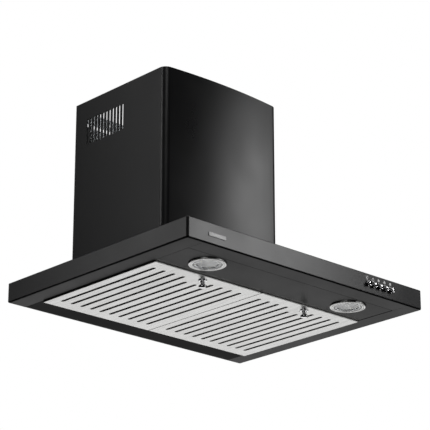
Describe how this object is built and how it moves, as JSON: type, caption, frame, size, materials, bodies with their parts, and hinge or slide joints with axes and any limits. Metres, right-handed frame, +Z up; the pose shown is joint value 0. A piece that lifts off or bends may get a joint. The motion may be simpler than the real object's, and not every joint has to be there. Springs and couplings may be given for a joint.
{
  "type": "wall-mounted chimney range hood",
  "caption": "Black wall-mounted chimney range hood with slotted steel baffle filters, recessed lamps, push buttons and a telescoping chimney over its blower.",
  "frame": {"origin": "on the wall face of the back plate, midway between the two keyholes the hood hangs by", "axes": "+X to the right seen from the front, +Y into the wall, +Z up"},
  "size_m": [0.6, 0.5085, 0.4652],
  "materials": {
    "black_paint": "satin black powder coat on steel sheet",
    "stainless": "fine straight brushing along the slots",
    "chrome": "polished plating",
    "galvanised": "zinc-coated sheet with a faint spangle",
    "lamp_ring": "satin metal ring",
    "clear_lens": "clear moulded lens with a fine prism pattern",
    "led_board": "white board under the lens",
    "black_plastic": "moulded, fine grain",
    "white_plastic": "moulded, fine grain",
    "spring_steel": "drawn wire and strip",
    "motor_steel": "pressed steel motor can",
    "badge_metal": "blank satin plate"
  },
  "bodies": {
    "hood": {"canopy_shell": "black_paint", "filter_rear_rail": "black_paint", "light_panel": "black_paint", "badge_plate": "badge_metal", "switch_bank": "black_plastic", "chimney_cover": "black_paint", "back_plate": "galvanised", "blower_box": "galvanised", "blower_screw_1": "spring_steel", "blower_screw_2": "spring_steel", "blower_screw_3": "spring_steel", "blower_screw_4": "spring_steel", "scroll_housing": "black_plastic", "inlet_ring": "black_plastic", "motor": "motor_steel", "motor_bracket": "galvanised", "outlet_collar": "black_plastic", "damper_pin": "spring_steel", "terminal_box": "black_plastic", "terminal_box_lid": "black_plastic", "run_capacitor": "white_plastic", "lamp_driver": "white_plastic", "cable_gland": "black_plastic", "lamp_left_ring": "lamp_ring", "lamp_left_lens": "clear_lens", "lamp_left_led_board": "led_board", "lamp_left_can": "black_plastic", "lamp_left_clip_a": "spring_steel", "lamp_left_clip_b": "spring_steel", "lamp_right_ring": "lamp_ring", "lamp_right_lens": "clear_lens", "lamp_right_led_board": "led_board", "lamp_right_can": "black_plastic", "lamp_right_clip_a": "spring_steel", "lamp_right_clip_b": "spring_steel"},
    "chimney_extension": {"chimney_extension": "black_paint", "chimney_wall_bracket": "galvanised"},
    "filter_left": {"filter_left_frame": "stainless", "filter_left_baffles": "stainless", "latch_left_guide": "galvanised", "latch_left_spring": "spring_steel"},
    "latch_left": {"latch_left_knob": "chrome", "latch_left_bolt": "spring_steel"},
    "filter_right": {"filter_right_frame": "stainless", "filter_right_baffles": "stainless", "latch_right_guide": "galvanised", "latch_right_spring": "spring_steel"},
    "latch_right": {"latch_right_knob": "chrome", "latch_right_bolt": "spring_steel"},
    "button_lamp": {"button_lamp": "chrome"},
    "button_off": {"button_off": "chrome"},
    "button_low": {"button_low": "chrome"},
    "button_medium": {"button_medium": "chrome"},
    "button_high": {"button_high": "chrome"},
    "impeller": {"impeller": "black_plastic", "motor_shaft": "spring_steel"},
    "damper_front": {"damper_flap_front": "black_plastic"},
    "damper_rear": {"damper_flap_rear": "black_plastic"}
  },
  "joints": [
    {"name": "chimney_extension_slide", "type": "slide", "parent": "hood", "child": "chimney_extension", "axis": [0, 0, 1], "range_m": [0, 0.3]},
    {"name": "filter_left_swing", "type": "hinge", "parent": "hood", "child": "filter_left", "pos_m": [-0.1303, -0.0555, -0.303], "axis": [1, 0, 0], "range_deg": [0, 60]},
    {"name": "latch_left_slide", "type": "slide", "parent": "filter_left", "child": "latch_left", "axis": [0, 1, 0], "range_m": [0, 0.008], "stiffness_N_per_m": 400, "springref_m": -0.004, "deforming": ["latch_left_spring"]},
    {"name": "filter_right_swing", "type": "hinge", "parent": "hood", "child": "filter_right", "pos_m": [0.1303, -0.0555, -0.303], "axis": [1, 0, 0], "range_deg": [0, 60]},
    {"name": "latch_right_slide", "type": "slide", "parent": "filter_right", "child": "latch_right", "axis": [0, 1, 0], "range_m": [0, 0.008], "stiffness_N_per_m": 400, "springref_m": -0.004, "deforming": ["latch_right_spring"]},
    {"name": "button_lamp_press", "type": "slide", "parent": "hood", "child": "button_lamp", "axis": [0, 1, 0], "range_m": [0, 0.0035], "stiffness_N_per_m": 350, "springref_m": -0.003},
    {"name": "button_off_press", "type": "slide", "parent": "hood", "child": "button_off", "axis": [0, 1, 0], "range_m": [0, 0.0035], "stiffness_N_per_m": 350, "springref_m": -0.003},
    {"name": "button_low_press", "type": "slide", "parent": "hood", "child": "button_low", "axis": [0, 1, 0], "range_m": [0, 0.0035], "stiffness_N_per_m": 350, "springref_m": -0.003},
    {"name": "button_medium_press", "type": "slide", "parent": "hood", "child": "button_medium", "axis": [0, 1, 0], "range_m": [0, 0.0035], "stiffness_N_per_m": 350, "springref_m": -0.003},
    {"name": "button_high_press", "type": "slide", "parent": "hood", "child": "button_high", "axis": [0, 1, 0], "range_m": [0, 0.0035], "stiffness_N_per_m": 350, "springref_m": -0.003},
    {"name": "impeller_spin", "type": "hinge", "parent": "hood", "child": "impeller", "pos_m": [0, -0.122, -0.16], "axis": [1, 0, 0], "continuous": true},
    {"name": "damper_front_swing", "type": "hinge", "parent": "hood", "child": "damper_front", "pos_m": [0, -0.0952, -0.016], "axis": [-1, 0, 0], "range_deg": [0, 75]},
    {"name": "damper_rear_swing", "type": "hinge", "parent": "hood", "child": "damper_rear", "pos_m": [0, -0.0888, -0.016], "axis": [1, 0, 0], "range_deg": [0, 75]}
  ]
}
